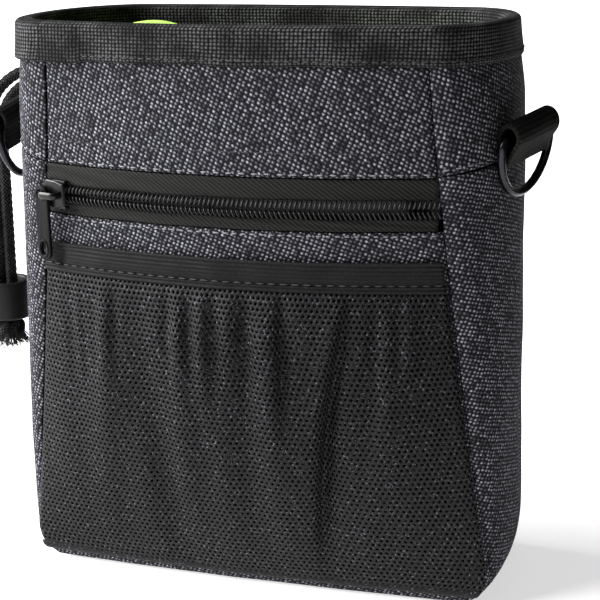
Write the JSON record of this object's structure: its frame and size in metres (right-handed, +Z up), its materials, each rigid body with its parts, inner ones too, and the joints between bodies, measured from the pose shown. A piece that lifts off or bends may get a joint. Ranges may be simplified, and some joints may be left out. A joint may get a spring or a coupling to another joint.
{
  "type": "treat pouch",
  "caption": "Stand-up denim treat pouch with a bound open mouth, zip pocket, mesh pocket with elastic top, side D-rings on webbing tabs and a drawstring with a cord stop.",
  "frame": {"origin": "middle of the flat base, on the floor", "axes": "+Z up, the front with the zip and mesh pocket faces -Y, +X to the right as seen from the front"},
  "size_m": [0.1783, 0.0906, 0.16],
  "materials": {
    "denim": "coarse grey melange denim twill, matt",
    "webbing": "black ribbed polyester webbing and zip tape",
    "elastic": "black ribbed elastic, slight sheen",
    "mesh": "black knitted nylon mesh with small round holes",
    "lining": "dark coated nylon lining",
    "lime_lining": "lime green smooth nylon",
    "nylon": "black nylon zip coil, satin",
    "black_metal": "black plated or enamelled metal, gloss",
    "black_metal_matt": "black painted metal, satin to matt",
    "cord": "black braided polyester cord",
    "plastic": "black moulded plastic, satin"
  },
  "bodies": {
    "pouch": {"front_upper_panel": "denim", "front_lower_panel": "denim", "back_panel": "denim", "gusset_left_upper": "denim", "gusset_right_upper": "denim", "gusset_left_lower": "denim", "gusset_right_lower": "denim", "base_panel": "denim", "zip_tape_upper": "webbing", "zip_tape_lower": "webbing", "zip_coil_upper": "nylon", "zip_coil_lower": "nylon", "zip_pocket_lining": "lining", "mesh_pocket": "mesh", "pocket_elastic": "elastic", "rim_binding": "webbing", "liner": "lining", "drawstring_collar": "lime_lining", "eyelet": "black_metal", "eyelet_washer": "black_metal", "drawstring_loop": "cord", "drawstring_tail_outer": "cord", "drawstring_tail_inner": "cord", "cord_knot": "cord", "d_ring_tab_left": "webbing", "d_ring_tab_right": "webbing", "belt_loop": "webbing"},
    "zip_slider": {"zip_slider": "black_metal"},
    "zip_pull": {"zip_pull": "black_metal_matt"},
    "cord_stop": {"cord_stop": "plastic"},
    "d_ring_left": {"d_ring_left": "black_metal"},
    "d_ring_right": {"d_ring_right": "black_metal"}
  },
  "joints": [
    {"name": "zip_travel", "type": "hinge", "parent": "pouch", "child": "zip_slider", "pos_m": [0, 0.11044, 0.114], "axis": [0, 0, 1], "range_deg": [0, 36.5]},
    {"name": "zip_pull_swing", "type": "hinge", "parent": "zip_slider", "child": "zip_pull", "pos_m": [-0.05377, -0.03681, 0.114], "axis": [-0.3244, -0.9401, -0.1045], "range_deg": [-95, 48]},
    {"name": "d_ring_left_swing", "type": "hinge", "parent": "pouch", "child": "d_ring_left", "pos_m": [-0.0755, -0.009, 0.1305], "axis": [-0.0402, 0.9941, 0.1004], "range_deg": [0, 150]},
    {"name": "d_ring_right_swing", "type": "hinge", "parent": "pouch", "child": "d_ring_right", "pos_m": [0.0732, -0.0155, 0.1322], "axis": [-0.4181, -0.896, -0.1493], "range_deg": [0, 150]},
    {"name": "cord_stop_slide", "type": "slide", "parent": "pouch", "child": "cord_stop", "axis": [0, 0, 1], "range_m": [0, 0.03]}
  ]
}
